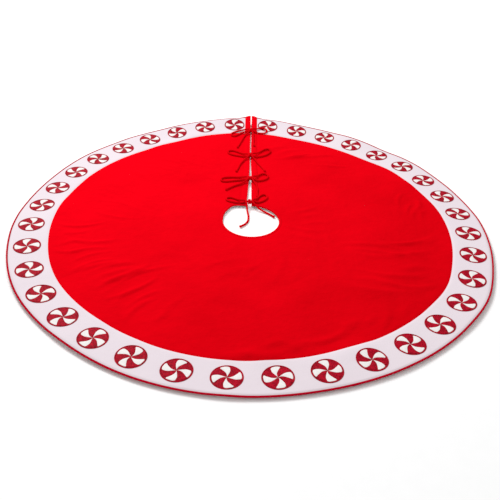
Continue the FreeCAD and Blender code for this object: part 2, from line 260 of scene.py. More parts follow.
@dataclass
class Drape:
    """Lays flat cloth on the floor.

    Attributes:
        cut: flat sizes.
        stations: how the border lies, in order of azimuth from 0 to 360 degrees.
        fans: groups of ridges on the red cloth and the border.
        hole_shift: how far the cloth round the hole has slid, in metres.
        slit_curl: how high the edges of the slit stand off the floor.
        hole_curl: how high the back of the hole's edge stands off the floor.
        roll_drop: how far the cloth turns down towards a raised edge.
        swell: height of the long low waves.
        closing: how far each side of the slit has crept in, away from the hole.
        ditches: depth as a share of the thickness, and width, of the ditch where the cloth is
            sewn through at the seam, the piping and the binding.
        placket_ditch: the same beside the placket.
        seed: of the ridges and the waves.
        ridges: narrow ridges, drawn from the fans.
        waves: the long low waves, as two wave numbers, a phase and a share.
    """

    cut: Cut
    stations: tuple[Station, ...]
    fans: tuple[WrinkleFan, ...]
    hole_shift: tuple[float, float] = (-0.002, -0.009)
    slit_curl: float = 0.0014
    hole_curl: float = 0.0045
    roll_drop: float = 0.0048
    swell: float = 0.00125
    closing: float = 0.0018
    ditches: tuple[tuple[float, float], ...] = ((0.25, 0.0035), (0.30, 0.0028), (0.15, 0.004))
    placket_ditch: tuple[float, float] = (0.18, 0.004)
    seed: int = 11
    ridges: list[Wrinkle] = field(default_factory=list)
    waves: list[tuple[float, float, float, float]] = field(default_factory=list)

    def __post_init__(self) -> None:
        """Draws the ridges and the long low waves once, from the seed."""
        dice = random.Random(self.seed)
        for fan in self.fans:
            self.ridges.extend(fan.ridges(dice))
        for _ in range(16):
            heading = dice.uniform(0, math.pi)
            number = 2 * math.pi / dice.uniform(0.11, 0.42)
            phase = dice.uniform(0, 2 * math.pi)
            self.waves.append((number * math.cos(heading), number * math.sin(heading), phase,
                               dice.uniform(0.35, 1.0)))

    def along_rim(self, azimuth: np.ndarray, value: Callable[[Station], float]) -> np.ndarray:
        """Smooth curve through one value of the stations.

        Args:
            azimuth: degrees, 0 to 360.
            value: picks the value off a station, in millimetres.

        Returns:
            The value in metres at each azimuth.
        """
        places = np.array([s.azimuth for s in self.stations])
        values = np.array([value(s) for s in self.stations]) * MM
        slopes = np.gradient(values, places)
        index = np.clip(np.searchsorted(places, azimuth, side="right") - 1, 0, len(places) - 2)
        gap = places[index + 1] - places[index]
        t = np.clip((azimuth - places[index]) / gap, 0, 1)
        a, b = values[index], values[index + 1]
        ma, mb = slopes[index] * gap, slopes[index + 1] * gap
        return ((2 * t**3 - 3 * t**2 + 1) * a + (t**3 - 2 * t**2 + t) * ma
                + (3 * t**2 - 2 * t**3) * b + (t**3 - t**2) * mb)

    @staticmethod
    def polar(x: np.ndarray, y: np.ndarray) -> tuple[np.ndarray, np.ndarray]:
        """Radius, and azimuth clockwise from the slit in degrees."""
        return np.hypot(x, y), np.degrees(np.arctan2(x, y)) % 360

    @staticmethod
    def ease(value: np.ndarray) -> np.ndarray:
        """Smooth step from 0 to 1."""
        t = np.clip(value, 0, 1)
        return t * t * (3 - 2 * t)

    def rise(self, x: np.ndarray, y: np.ndarray, fine: bool = True) -> np.ndarray:
        """Height of the cloth's underside over the floor.

        Args:
            x, y: flat coordinates, across and towards the slit.
            fine: with the narrow ridges, which the layers inside don't follow.

        Returns:
            The height in metres.
        """
        cut = self.cut
        r, azimuth = self.polar(x, y)
        edge = self.along_rim(azimuth, lambda s: s.edge)
        seam = self.along_rim(azimuth, lambda s: s.seam)
        tilt = np.clip((r - cut.seam + 0.012) / (cut.rim - cut.seam + 0.012), 0, None)
        height = edge * np.clip(tilt, 0, 1.02) ** 1.15
        roll = self.ease((r - cut.flange_inside) / 0.011) * self.ease((edge - 0.004) / 0.014)
        roll = roll * np.where(y > 0, self.ease((np.abs(x) - 0.022) / 0.03), 1.0)
        height = height - self.roll_drop * roll + self.curl(x, y)
        height = height + seam * np.exp(-(((r - cut.seam) / 0.045) ** 2))
        swell = sum(a * np.sin(kx * x + ky * y + p) for kx, ky, p, a in self.waves)
        swell = np.log1p(np.exp(1.6 * (swell - 0.6))) / 1.6
        calm = self.ease((r - cut.hole) / 0.13) * (1 - 0.55 * self.ease((r - cut.seam) / 0.05))
        height = height + self.swell * swell * calm
        if fine:
            ridges = sum(w.rise(x, y) for w in self.ridges)
            height = height + np.maximum(ridges, -0.4 * MM)
        return np.maximum(height, 0)

    def curl(self, x: np.ndarray, y: np.ndarray) -> np.ndarray:
        """Height by which the edges of the slit and of the hole stand off the floor.

        Args:
            x, y: flat coordinates, across and towards the slit.

        Returns:
            The height in metres, least at the front of the hole.
        """
        cut = self.cut
        beside = np.maximum(np.abs(x) - cut.slit, 0) / 0.052
        slit = self.slit_curl * np.exp(-(beside**2)) * self.ease((0.625 - y) / 0.09)
        slit = slit * self.ease((y - 0.02) / 0.05)
        r = np.hypot(x, y)
        facing = 0.56 + 0.44 * y / np.maximum(r, 1e-6)
        hole = self.hole_curl * facing * np.exp(-(((r - cut.hole) / 0.05) ** 2))
        return np.cbrt(slit**3 + hole**3)

    def droop(self, x: np.ndarray, y: np.ndarray) -> np.ndarray:
        """How far the lining hangs below the layers over it, down to the floor at the slit."""
        beside = np.where(y > 0, np.maximum(np.abs(x) - self.cut.slit, 0), 1.0)
        inside = self.ease((self.cut.rim - np.hypot(x, y)) / 0.02)
        return 0.96 * self.rise(x, y, False) * np.exp(-((beside / 0.013) ** 2)) * inside

    def squeeze(self, x: np.ndarray, y: np.ndarray) -> np.ndarray:
        """Share of its thickness that the cloth keeps where it is sewn through."""
        cut = self.cut
        r = np.hypot(x, y)
        rings = (cut.seam, cut.bead_inside, cut.binding_out)
        ditch = sum(depth * np.exp(-(((r - radius) / width) ** 2))
                    for radius, (depth, width) in zip(rings, self.ditches))
        depth, width = self.placket_ditch
        beside = np.where(y > 0, np.abs(x) - cut.placket_far, 1.0)
        ditch += depth * np.exp(-((beside / width) ** 2)) * (r > cut.binding_out)
        return 1 - np.clip(ditch, 0, 0.5) * (r < cut.bead_inside + 0.0005)

    def slide(self, x: np.ndarray, y: np.ndarray) -> tuple[np.ndarray, np.ndarray]:
        """Moves flat points in the plane, as the cloth has slid and been pulled.

        Args:
            x, y: flat coordinates, across and towards the slit.

        Returns:
            The moved coordinates.
        """
        cut = self.cut
        r, azimuth = self.polar(x, y)
        r = np.maximum(r, 1e-6)
        pull = self.along_rim(azimuth, lambda s: s.pull) * self.ease((r - 0.22) / (cut.seam - 0.22))
        near = 1 - self.ease((r - cut.hole) / 0.26)
        moved_x = x - pull * x / r + self.hole_shift[0] * near
        moved_y = y - pull * y / r + self.hole_shift[1] * near
        behind = self.ease(y / 0.06) * np.exp(-((x / 0.16) ** 2))
        down = np.clip((0.66 - y) / 0.31, 0, 1)
        open_hole = self.ease((0.26 - y) / 0.19)
        left = (x < 0).astype(float)
        closing = self.closing * self.ease((y - 0.24) / 0.1)
        drift = -0.0032 * self.ease(down) + open_hole * np.where(left > 0, -0.0055, 0.0012)
        drift += closing * (2 * left - 1)
        corner = np.exp(-(((azimuth - 330) / 16) ** 2)) * (1 - self.ease((r - cut.hole) / 0.08))
        moved_x += drift * behind - 0.004 * corner
        moved_y += 0.007 * corner
        return moved_x, moved_y

    def lay(self, points: np.ndarray, fine: bool = True) -> np.ndarray:
        """Lays flat points, whose z is the height in the stack of layers.

        Args:
            points: rows of flat x, y and height.
            fine: with the narrow ridges.

        Returns:
            The same points on the floor.
        """
        x, y, z = points[:, 0], points[:, 1], points[:, 2]
        top = self.cut.cloth_top
        stack = np.minimum(z, top) * self.squeeze(x, y) + np.maximum(z - top, 0)
        moved_x, moved_y = self.slide(x, y)
        return np.column_stack((moved_x, moved_y, self.rise(x, y, fine) + stack))

    def point(self, x: float, y: float, z: float) -> Vector:
        """Lays one point."""
        return Vector(self.lay(np.array([[x, y, z]]))[0])


# Finishes

Colour = tuple[float, float, float]


@dataclass
class Weaver:
    """Short ways to put nodes into one material's tree."""

    material: bpy.types.Material

    @classmethod
    def start(cls, name: str, roughness: float, **inputs: Any) -> "Weaver":
        """New material with only its shader.

        Args:
            name: the material's name.
            roughness: the same all over.
            inputs: values of the shader's other inputs.

        Returns:
            The weaver that holds it.
        """
        material = bpy.data.materials.new(name)
        material.use_nodes = True
        weaver = cls(material)
        for key, value in dict(inputs, Roughness=roughness).items():
            weaver.shader.inputs[key.replace("_", " ")].default_value = value
        return weaver

    @property
    def shader(self) -> Any:
        """The material's Principled shader."""
        return self.material.node_tree.nodes["Principled BSDF"]

    def node(self, kind: str, **settings: Any) -> Any:
        """Adds a node and sets its properties, or its inputs where it has no such property."""
        made = self.material.node_tree.nodes.new(kind)
        for key, value in settings.items():
            if hasattr(made, key):
                setattr(made, key, value)
            else:
                made.inputs[key.replace("_", " ")].default_value = value
        return made

    def join(self, source: Any, target: Any) -> None:
        """Links an output to an input."""
        self.material.node_tree.links.new(source, target)

    def place(self, uv: str = "") -> Any:
        """Output of the piece's Object coordinates, or of one of its UV maps."""
        if uv:
            return self.node("ShaderNodeUVMap", uv_map=uv).outputs["UV"]
        return self.node("ShaderNodeTexCoord").outputs["Object"]

    def noise(self, place: Any, scale: float, detail: float = 3.0, rough: float = 0.5) -> Any:
        """Noise texture's value on a coordinate."""
        made = self.node("ShaderNodeTexNoise", Scale=scale, Detail=detail, Roughness=rough)
        self.join(place, made.inputs["Vector"])
        return made.outputs["Fac"]

    def stripes(self, place: Any, scale: float, direction: str, warp: float = 0.0) -> Any:
        """Sine stripes on a coordinate, such as threads side by side."""
        made = self.node("ShaderNodeTexWave", wave_type="BANDS", bands_direction=direction,
                         Scale=scale, Distortion=warp, Detail=1.0)
        self.join(place, made.inputs["Vector"])
        return made.outputs["Fac"]

    def ramp(self, value: Any, low: float, high: float, dark: Colour, light: Colour) -> Any:
        """Colour that goes from dark to light as a value goes from low to high."""
        made = self.node("ShaderNodeValToRGB")
        first, last = made.color_ramp.elements
        first.position, last.position = low, high
        first.color, last.color = (*dark, 1), (*light, 1)
        self.join(value, made.inputs["Fac"])
        return made.outputs["Color"]

    def maths(self, operation: str, a: Any, b: Any) -> Any:
        """One Math node on two sockets or numbers."""
        made = self.node("ShaderNodeMath", operation=operation)
        for socket, value in zip(made.inputs, (a, b)):
            if isinstance(value, (int, float)):
                socket.default_value = value
            else:
                self.join(value, socket)
        return made.outputs[0]

    def bump(self, height: Any, strength: float, distance: float, under: Any = None) -> Any:
        """Bump from a height, on top of another bump if one is given."""
        made = self.node("ShaderNodeBump", Strength=strength, Distance=distance)
        self.join(height, made.inputs["Height"])
        if under is not None:
            self.join(under, made.inputs["Normal"])
        return made.outputs["Normal"]

    def dress(self, colour: Any, normal: Any = None) -> None:
        """Joins what varies over the surface to the shader."""
        self.join(colour, self.shader.inputs["Base Color"])
        if normal is not None:
            self.join(normal, self.shader.inputs["Normal"])


@dataclass(frozen=True)
class WovenCloth:
    """Plain cloth with a fine weave, a soft nap and slow changes of tone; where fade is set, painted
    light as well, a tone that grows lighter towards one side.
    """

    name: str
    light: Colour
    dark: Colour
    sheen: float = 0.25
    sheen_tint: Colour = (1.0, 1.0, 1.0)
    roughness: float = 0.9
    thread: float = 0.0009
    nap: float = 0.35
    uv: str = "Cloth"
    # fade is painted light: slopes of the tone per metre across and towards the slit, lighter where
    # the broad light falls.
    fade: tuple[float, float] = (0.0, 0.0)
    gloss: float = 0.08
    rumple: float = 0.0

    def material(self) -> bpy.types.Material:
        """Builds the finish as a new material."""
        weaver = Weaver.start(self.name, self.roughness, Sheen_Weight=self.sheen,
                              Sheen_Roughness=0.45, Sheen_Tint=(*self.sheen_tint, 1),
                              Specular_IOR_Level=self.gloss)
        place = weaver.place()
        flat = weaver.place(self.uv) if self.uv else place
        tone = weaver.maths("MULTIPLY", weaver.noise(place, 5.0, 2.0), 0.35)
        mottle = weaver.maths("MULTIPLY", weaver.noise(place, 60.0, 4.0, 0.65), self.nap * 0.5)
        value = weaver.maths("ADD", weaver.maths("ADD", tone, mottle), 0.5 - 0.175 - self.nap * 0.25)
        # Painted light: the tone grows lighter along the fade slopes, towards where the broad light
        # falls.
        if any(self.fade):
            split = weaver.node("ShaderNodeSeparateXYZ")
            weaver.join(place, split.inputs[0])
            across = weaver.maths("MULTIPLY", split.outputs["X"], self.fade[0])
            back = weaver.maths("MULTIPLY", split.outputs["Y"], self.fade[1])
            value = weaver.maths("ADD", value, weaver.maths("ADD", across, back))
        colour = weaver.ramp(value, 0.0, 1.0, self.dark, self.light)
        scale = 1.0 / (self.thread * 20.0)
        warp = weaver.stripes(flat, scale, "X")
        weft = weaver.stripes(flat, scale, "Y")
        weave = weaver.maths("MAXIMUM", warp, weft)
        fuzz = weaver.noise(flat, 900.0, 3.0, 0.7)
        normal = weaver.bump(weave, 0.25, 0.00025)
        normal = weaver.bump(fuzz, 0.30, 0.0004, normal)
        if self.rumple:
            creases = weaver.noise(flat, 26.0, 4.0, 0.62)
            normal = weaver.bump(creases, 0.6, self.rumple, normal)
        weaver.dress(colour, normal)
        return weaver.material


@dataclass(frozen=True)
class SatinStitch:
    """Embroidery thread laid side by side, on the Thread map whose U runs across the threads."""

    name: str
    light: Colour
    dark: Colour
    speckle: float
    roughness: float = 0.55
    thread: float = 0.0006

    def material(self) -> bpy.types.Material:
        """Builds the finish as a new material."""
        weaver = Weaver.start(self.name, self.roughness, Specular_IOR_Level=0.04)
        flat = weaver.place("Thread")
        place = weaver.place()
        grains = weaver.noise(place, 330.0, 2.0, 0.6)
        patches = weaver.noise(place, 90.0, 2.0, 0.5)
        value = weaver.maths("ADD", weaver.maths("MULTIPLY", grains, 0.7),
                             weaver.maths("MULTIPLY", patches, 0.3))
        colour = weaver.ramp(value, 0.5 - self.speckle, 0.5 + 0.12, self.dark, self.light)
        threads = weaver.stripes(flat, 1.0 / (self.thread * 20.0), "X", 0.6)
        normal = weaver.bump(threads, 0.5, 0.0003)
        normal = weaver.bump(grains, 0.4, 0.0006, normal)
        weaver.dress(colour, normal)
        return weaver.material


@dataclass(frozen=True)
class Fleece:
    """Soft white wadding with loose fibres."""

    name: str = "fleece"

    def material(self) -> bpy.types.Material:
        """Builds the finish as a new material."""
        weaver = Weaver.start(self.name, 0.95, Sheen_Weight=0.4)
        place = weaver.place()
        fibres = weaver.noise(place, 450.0, 5.0, 0.75)
        clumps = weaver.noise(place, 70.0, 3.0)
        colour = weaver.ramp(clumps, 0.3, 0.7, (0.72, 0.71, 0.68), (0.84, 0.83, 0.80))
        weaver.dress(colour, weaver.bump(fibres, 0.6, 0.0012))
        return weaver.material


@dataclass(frozen=True)
class FloorFinish:
    """Plain pale floor with a trace of grain."""

    name: str = "floor"

    def material(self) -> bpy.types.Material:
        """Builds the finish as a new material."""
        weaver = Weaver.start(self.name, 0.9, Specular_IOR_Level=0.0)
        grain = weaver.noise(weaver.place(), 40.0, 3.0)
        weaver.dress(weaver.ramp(grain, 0.2, 0.8, (0.96, 0.96, 0.96), (0.98, 0.98, 0.98)))
        return weaver.material


# The red cloth's fade is painted light: its red grows lighter towards the back left and darker
# towards the front right.
RED_CLOTH = WovenCloth("red_cloth", (0.95, 0.0004, 0.0085), (0.45, 0.0002, 0.0022), sheen=0.03,
                       sheen_tint=(1.0, 0.0, 0.02), fade=(-0.26, 0.22), gloss=0.003,
                       rumple=0.0055)
PALE_CLOTH = WovenCloth("pale_cloth", (0.80, 0.715, 0.76), (0.67, 0.59, 0.635), sheen=0.05,
                        nap=0.22, rumple=0.0012)
LINING_CLOTH = WovenCloth("lining_cloth", (0.80, 0.78, 0.74), (0.66, 0.63, 0.60), thread=0.0006)
PIPING_CLOTH = WovenCloth("piping_cloth", (0.60, 0.002, 0.022), (0.36, 0.001, 0.010), uv="",
                          sheen=0.0, gloss=0.02)
EDGE_CLOTH = WovenCloth("edge_cloth", (0.88, 0.0005, 0.008), (0.50, 0.0003, 0.003), uv="",
                        sheen=0.0, gloss=0.01)
TIE_CLOTH = WovenCloth("tie_cloth", (0.80, 0.0006, 0.006), (0.50, 0.0003, 0.003), uv="",
                       thread=0.0007, sheen=0.0, gloss=0.01)
RED_THREAD = SatinStitch("red_thread", (0.50, 0.0025, 0.020), (0.15, 0.0008, 0.006), 0.16)
CREAM_THREAD = SatinStitch("cream_thread", (0.84, 0.82, 0.80), (0.70, 0.67, 0.65), 0.3)


@dataclass
class Wardrobe:
    """Each finish is built once and shared."""

    made: dict[str, bpy.types.Material] = field(default_factory=dict)

    def take(self, finish: Any) -> bpy.types.Material:
        """The material of a finish."""
        if finish.name not in self.made:
            self.made[finish.name] = finish.material()
        return self.made[finish.name]


# Making pieces


@dataclass
class Workshop:
    """What every sub-assembly needs.

    Attributes:
        cut: flat sizes.
        drape: how the cloth lies.
        wardrobe: the finishes.
        count: how many pieces are made.
        bend: half the width of the band that bends at a fold line; not used.
    """

    cut: Cut
    drape: Drape
    wardrobe: Wardrobe = field(default_factory=Wardrobe)
    count: int = 0
    bend: float = 0.016

    def finish_piece(self, bm: bmesh.types.BMesh, name: str, finishes: Sequence[Any],
                     slot: str, fine: bool = True, droop: bool = False) -> bpy.types.Object:
        """Turns a flat bmesh into a laid, dressed object.

        Args:
            bm: the piece with flat x, y and stack height z; it is freed.
            name: the piece's name.
            finishes: one finish for each material index.
            slot: the record's material slot; not used.
            fine: the piece follows the narrow ridges.
            droop: the piece hangs to the floor at the slit.

        Returns:
            The new object, at the origin.
        """
        mesh = bpy.data.meshes.new(name)
        for face in bm.faces:
            face.smooth = True
        bm.to_mesh(mesh)
        bm.free()
        mesh.set_sharp_from_angle(angle=math.radians(50))
        flat = np.empty(len(mesh.vertices) * 3)
        mesh.vertices.foreach_get("co", flat)
        flat = flat.reshape(-1, 3)
        if not mesh.uv_layers:
            self.map_flat(mesh, flat)
        laid = self.drape.lay(flat, fine)
        if droop:
            laid[:, 2] -= self.drape.droop(flat[:, 0], flat[:, 1])
        mesh.vertices.foreach_set("co", laid.ravel())
        mesh.update()
        return self.add(mesh, name, finishes, slot)

    def add(self, mesh: Any, name: str, finishes: Sequence[Any], slot: str) -> bpy.types.Object:
        """Links a mesh or curve as a piece with its finishes."""
        piece = bpy.data.objects.new(name, mesh)
        bpy.context.scene.collection.objects.link(piece)
        for finish in finishes:
            mesh.materials.append(self.wardrobe.take(finish))
        self.count += 1
        return piece

    def ring_half(self, side: Side, profile: Sequence[tuple[float, float]], steps: int,
                  closed: bool = False) -> bmesh.types.BMesh:
        """Turns a section round Z through half a circle, from the slit to the front.

        Args:
            side: which half.
            profile: radius and stack height of the section's corners.
            steps: how many strips the half circle takes.
            closed: the section is a closed loop and gets a cap at each end.

        Returns:
            The turned surface, facing up or outwards.
        """
        bm = bmesh.new()
        row = [bm.verts.new((0, r, z)) for r, z in profile]
        pairs = list(zip(row, row[1:] + row[:1])) if closed else list(zip(row, row[1:]))
        edges = [bm.edges.new(pair) for pair in pairs]
        if closed:
            bm.faces.new(row)
        turned = bmesh.ops.spin(bm, geom=row + edges, cent=(0, 0, 0), axis=(0, 0, 1),
                                angle=-side.sign * math.pi, steps=steps, use_duplicate=False)
        if closed:
            last = [g for g in turned["geom_last"] if isinstance(g, bmesh.types.BMVert)]
            bmesh.ops.contextual_create(bm, geom=last)
            bmesh.ops.recalc_face_normals(bm, faces=bm.faces)
        else:
            self.face_up(bm)
        self.open_slit(bm, side)
        return bm

    @staticmethod
    def face_up(bm: bmesh.types.BMesh) -> None:
        """Turns an open sheet over if it faces down."""
        bm.normal_update()
        if sum(face.normal.z for face in bm.faces) < 0:
            bmesh.ops.reverse_faces(bm, faces=bm.faces)

    def open_slit(self, bm: bmesh.types.BMesh, side: Side, inset: float = 0.0) -> None:
        """Moves the edge at the slit out to its line, and eases that out over 8 cm."""
        reach, room = self.cut.slit + inset, self.cut.hole
        for vert in bm.verts:
            x, y, z = vert.co
            across = abs(x)
            if y > 0 and across < room:
                radius = math.hypot(x, y)
                across = reach + across * (room - reach) / room
                vert.co = (side.sign * across, math.sqrt(max(radius**2 - across**2, 0)), z)

    @staticmethod
    def map_flat(mesh: bpy.types.Mesh, flat: np.ndarray) -> None:
        """Cloth map: the flat place of each corner, in metres.

        Args:
            mesh: gets the map.
            flat: rows of its vertices' flat places.
        """
        corners = np.empty(len(mesh.loops), dtype=np.int32)
        mesh.loops.foreach_get("vertex_index", corners)
        layer = mesh.uv_layers.new(name="Cloth")
        layer.uv.foreach_set("vector", flat[corners, :2].ravel())

    def fit_half(self, piece: bpy.types.Object, stem: str, side: Side) -> None:
        """Puts a half in place of its nodes.

        Args:
            piece: the half.
            stem: name of its nodes without their ending.
            side: which half.
        """
        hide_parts(f"{stem}_main", f"{stem}_{side.label}")
        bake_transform(piece)

    @staticmethod
    def thicken(bm: bmesh.types.BMesh, thickness: float) -> None:
        """Gives a flat sheet its thickness, downwards from the face that is there.

        Args:
            bm: the open sheet.
            thickness: of the closed shell that it becomes.
        """
        lower = bmesh.ops.extrude_face_region(bm, geom=bm.faces[:], use_keep_orig=True)
        verts = [g for g in lower["geom"] if isinstance(g, bmesh.types.BMVert)]
        bmesh.ops.translate(bm, verts=verts, vec=(0, 0, -thickness))
        bmesh.ops.recalc_face_normals(bm, faces=bm.faces)

    @staticmethod
    def wall(piece: bpy.types.Object, thickness: float) -> None:
        """Gives a folded strip its thickness, inwards."""
        modifier = piece.modifiers.new("thickness", "SOLIDIFY")
        modifier.thickness = thickness
        modifier.offset = -1.0


@dataclass(frozen=True)
class Sheet:
    """One half of a layer as it was cut: width, length and area, in metres."""

    width: float
    length: float
    area: float


LINING_CUT = Sheet(0.6556, 1.3112, 0.6653)
FLEECE_CUT = Sheet(0.6456, 1.2912, 0.6448)
CENTRE_CUT = Sheet(0.5569, 1.1138, 0.4772)
BORDER_CUT = Sheet(0.0987, 1.905, 0.1880)


@dataclass
class ClothLayers:
    """Red centre, pale border, fleece and lining, each in two halves.

    Attributes:
        shop: sizes, drape and finishes.
        slack: how far the fleece lies below the face, so that no seam ditch meets it.
    """

    shop: Workshop
    slack: float = 0.0006

    def build(self) -> None:
        """Builds all the layers."""
        cut = self.shop.cut
        outside = cut.bead_inside - 0.2 * MM
        face = cut.cloth_top - cut.wadding_top
        fleece_top = cut.wadding_top - self.slack
        for side in Side:
            self.layer(side, "lining", (cut.hole, outside), cut.lining_top, cut.lining_top,
                       (60, 200), LINING_CLOTH, "lining", LINING_CUT, False)
            self.layer(side, "wadding", (cut.core_hole, cut.flange_inside), fleece_top,
                       fleece_top - cut.lining_top, (50, 160), Fleece(), "wadding", FLEECE_CUT,
                       False)
            self.layer(side, "red_centre", (cut.core_hole, cut.seam), cut.cloth_top, face,
                       (116, 400), RED_CLOTH, "red_cloth", CENTRE_CUT, True, 0.45)
            self.layer(side, "white_border", (cut.seam, outside), cut.cloth_top, face,
                       (34, 420), PALE_CLOTH, "white_cloth", BORDER_CUT, True, 0.8)

    def layer(self, side: Side, stem: str, span: tuple[float, float], top: float,
              thickness: float, cells: tuple[int, int], finish: Any, slot: str, sheet: Sheet,
              fine: bool, crowd: float = 0.0) -> None:
        """Builds one half of one layer.

        Args:
            side: which half.
            stem: name of the layer's nodes without their ending.
            span: inside and outside radius.
            top: stack height of its upper face.
            thickness: of the layer.
            cells: how many across the ring and round it.
            finish: what it is made of.
            slot: the record's material slot; not used.
            sheet: the half as it was cut.
            fine: it follows the narrow ridges.
            crowd: how much closer the cells are at the seams, 0 to 1.
        """
        inner, outer = span
        across, round_it = cells
        shares = [i / across for i in range(across + 1)]
        shares = [t - crowd * math.sin(2 * math.pi * t) / (2 * math.pi) for t in shares]
        profile = [(inner + (outer - inner) * t, top) for t in shares]
        bm = self.shop.ring_half(side, profile, round_it)
        self.shop.thicken(bm, thickness * 0.98)
        piece = self.shop.finish_piece(bm, f"{stem}_{side.label}_half", [finish], slot, fine,
                                       stem == "lining")
        self.shop.fit_half(piece, stem, side)
        LOG.info("%s, cut %.0f x %.0f mm", piece.name, sheet.width / MM, sheet.length / MM)


@dataclass
class Edging:
    """Piping round the outside and the binding round the trunk hole, in two halves.

    Attributes:
        shop: sizes, drape and finishes.
        bead_corners: of the piping's round section.
        drawn: thickness of the piping as a share of the bead's.
        pucker: how much each of four ripples changes that share.
        ripples: how many of each go round the skirt.
        flange: bottom and top of the seam allowance.
        binding_wall: thickness of the binding.
    """

    shop: Workshop
    bead_corners: int = 14
    drawn: float = 0.88
    pucker: float = 0.006
    ripples: tuple[int, ...] = (83, 131, 197, 61)
    flange: tuple[float, float] = (0.0012, 0.0020)
    binding_wall: float = 0.0005

    def build(self) -> None:
        """Builds both edges on both sides."""
        for side in Side:
            self.piping(side)
            self.binding(side)
        LOG.info("piping and hole binding")

    def piping(self, side: Side) -> None:
        """Round bead, slightly puckered, with the seam allowance it is sewn in by."""
        cut = self.shop.cut
        middle = cut.rim - cut.bead
        turns = [2 * math.pi * i / self.bead_corners for i in range(self.bead_corners)]
        bead = [(middle + cut.bead * math.cos(t), cut.bead + cut.bead * math.sin(t))
                for t in turns]
        bm = self.shop.ring_half(side, bead, 420, closed=True)
        dice = random.Random(5 + side.sign)
        phases = [dice.uniform(0, 6.28) for _ in range(4)]
        for vert in bm.verts:
            azimuth = math.atan2(vert.co.x, vert.co.y)
            pucker = sum(math.sin(azimuth * k + p) for k, p in zip(self.ripples, phases))
            flat = Vector((vert.co.x, vert.co.y, 0)).normalized()
            centre = flat * middle + Vector((0, 0, cut.bead))
            vert.co = centre + (vert.co - centre) * (self.drawn + self.pucker * pucker)
        inside, outside, (low, high) = cut.flange_inside, cut.bead_inside + 0.001, self.flange
        section = [(inside, low), (outside, low), (outside, high), (inside, high)]
        flange = self.shop.ring_half(side, section, 160, closed=True)
        mesh = bpy.data.meshes.new("flange")
        flange.to_mesh(mesh)
        flange.free()
        bm.from_mesh(mesh)
        bpy.data.meshes.remove(mesh)
        piece = self.shop.finish_piece(bm, f"piping_{side.label}_half", [PIPING_CLOTH], "piping",
                                       False)
        self.shop.fit_half(piece, "piping", side)

    def binding(self, side: Side) -> None:
        """Strip that lies on the face and turns down into the hole."""
        cut = self.shop.cut
        top = cut.cloth_top + 0.0006
        section = [
            (cut.binding_out, cut.cloth_top + 0.0001), (cut.binding_out - 0.0004, top - 0.0001),
            (cut.binding_out - 0.002, top + 0.0001), (cut.binding_out - 0.004, top + 0.0002),
            (cut.hole + 0.0024, top + 0.0001), (cut.hole + 0.0010, top - 0.0004),
            (cut.hole + 0.0002, top - 0.0014), (cut.hole, top - 0.0026),
            (cut.hole, top - 0.0038), (cut.hole + 0.0003, cut.lining_top + 0.0001),
        ]
        bm = self.shop.ring_half(side, section, 120)
        piece = self.shop.finish_piece(bm, f"hole_binding_{side.label}_half", [EDGE_CLOTH],
                                       "binding")
        self.shop.wall(piece, self.binding_wall)
        self.shop.fit_half(piece, "hole_binding", side)


@dataclass
class Plackets:
    """Red strip along each side of the slit, turned down over the cut edge.

    Attributes:
        shop: sizes, drape and finishes.
        rows: cells along the strip.
        turned: cells over the part that is turned down.
        across: cells over the part that lies on the face.
        slant: how far back the loose end is cut at the slit.
        crown: how far the strip's middle stands up.
        stitch: depth of its two rows of stitching.
        wall: thickness of its cloth.
    """

    shop: Workshop
    rows: int = 180
    turned: int = 6
    across: int = 12
    slant: float = 0.009
    crown: float = 0.0003
    stitch: float = 0.0004
    wall: float = 0.0006

    def build(self) -> None:
        """Builds both strips."""
        for side in Side:
            self.strip(side)

    def strip(self, side: Side) -> None:
        """One strip with its slanted loose end.

        Args:
            side: which side of the slit.
        """
        cut = self.shop.cut
        width = cut.placket_far - cut.slit
        start, leaf_end = cut.binding_out, cut.flange_inside
        bm = bmesh.new()
        columns = self.across + self.turned
        bmesh.ops.create_grid(bm, x_segments=columns, y_segments=self.rows, size=0.5)
        for vert in bm.verts:
            column = round((vert.co.x + 0.5) * columns)
            t = vert.co.y + 0.5
            over = min(column, self.across) / self.across
            slant = cut.placket_end - self.slant * max(0.0, (1 - over) - 0.25) / 0.75
            y = start + t * (slant - start)
            x = cut.placket_far - over * width
            crown = self.crown * math.sin(math.pi * over) ** 0.5
            stitch = self.stitch * (math.exp(-(((over - 0.12) / 0.05) ** 2))
                                    + math.exp(-(((over - 0.86) / 0.05) ** 2)))
            z = cut.placket_top + crown - stitch
            if column > self.across:
                down = (column - self.across) / self.turned
                fade = 1 - Drape.ease(np.array((y - leaf_end + 0.02) / 0.02)).item()
                depth = 0.0008 + 0.0038 * fade
                z = cut.placket_top - 0.0002 - down * depth
                x = cut.slit - 0.0001 * math.sin(math.pi * down)
            vert.co = (side.sign * x, y, z)
        self.shop.face_up(bm)
        piece = self.shop.finish_piece(bm, f"placket_{side.label}_strip", [RED_CLOTH], "placket")
        self.shop.wall(piece, self.wall)
        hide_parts(f"placket_{side.label}")
        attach(piece, side.flap)


